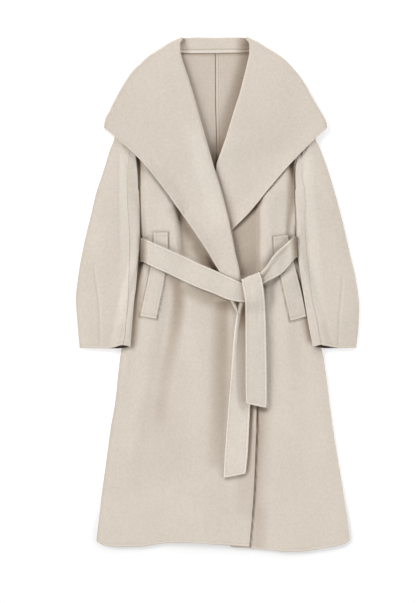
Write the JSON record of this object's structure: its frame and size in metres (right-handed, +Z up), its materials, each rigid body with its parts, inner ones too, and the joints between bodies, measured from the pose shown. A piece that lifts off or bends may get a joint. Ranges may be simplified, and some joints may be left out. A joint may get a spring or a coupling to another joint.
{
  "type": "wrap coat",
  "caption": "Long wrap coat laid flat, front up, with a broad shawl collar, full sleeves, welt pockets and a tied belt.",
  "frame": {"origin": "middle of the coat's length and width, on the surface that it lies on", "axes": "+Y towards the collar, +Z up out of the coat's front, +X towards the wearer's left"},
  "size_m": [0.6794, 1.2351, 0.0353],
  "materials": {
    "coat_wool": "felted wool, matte",
    "belt_wool": "felted wool, matte, doubled"
  },
  "bodies": {
    "root": {"back_right": "coat_wool", "back_left": "coat_wool", "front_right": "coat_wool", "front_left": "coat_wool", "collar": "coat_wool", "sleeve_right_upper": "coat_wool", "sleeve_right_under": "coat_wool", "sleeve_left_upper": "coat_wool", "sleeve_left_under": "coat_wool", "welt_right": "coat_wool", "welt_left": "coat_wool", "belt_band": "belt_wool", "belt_knot_tail": "belt_wool", "belt_tail_under": "belt_wool"}
  },
  "joints": []
}
